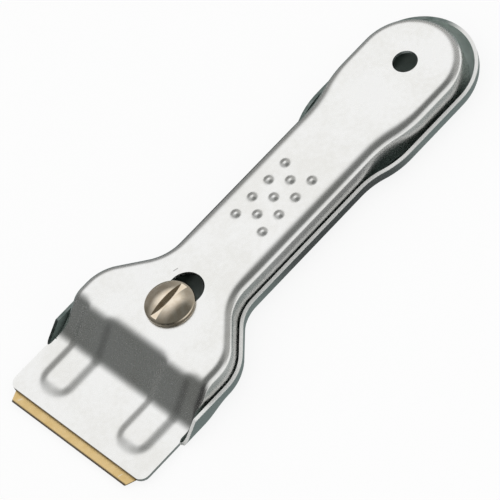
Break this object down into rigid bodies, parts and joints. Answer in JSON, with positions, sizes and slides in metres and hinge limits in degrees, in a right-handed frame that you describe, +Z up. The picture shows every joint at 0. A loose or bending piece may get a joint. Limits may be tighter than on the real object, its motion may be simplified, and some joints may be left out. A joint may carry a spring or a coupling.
{
  "type": "razor blade scraper",
  "caption": "Flat pressed-steel hand scraper: a blade on a tray's tongue, under a ribbed cover that slides forward to guard it and is clamped by a coin-slot screw; hanging hole at the back",
  "frame": {"origin": "on the underside of the tray, under the middle of the overall length and width", "axes": "+X points along the tool to the cutting edge, +Z up through the cover, +Y to the side that the picture shows nearer"},
  "size_m": [0.144, 0.0494, 0.0136],
  "materials": {
    "plated_steel": "bright nickel plating on pressed sheet",
    "satin_steel": "pale satin plating on pressed sheet",
    "gold_blade": "hardened blade steel with a gold-coloured film",
    "rivet_steel": "turned steel",
    "nickel": "polished warm nickel plating"
  },
  "bodies": {
    "base": {"base_tray": "plated_steel", "blade": "gold_blade", "blade_pegs": "rivet_steel", "threaded_bush": "rivet_steel"},
    "cover": {"slide_cover": "satin_steel"},
    "screw": {"clamp_screw": "nickel"}
  },
  "joints": [
    {"name": "cover_slide", "type": "slide", "parent": "base", "child": "cover", "axis": [1, 0, 0], "range_m": [0, 0.0055]},
    {"name": "screw_turn", "type": "hinge", "parent": "base", "child": "screw", "pos_m": [0.0317, 0, 0.0108], "axis": [0, 0, 1], "range_deg": [0, 270]}
  ]
}
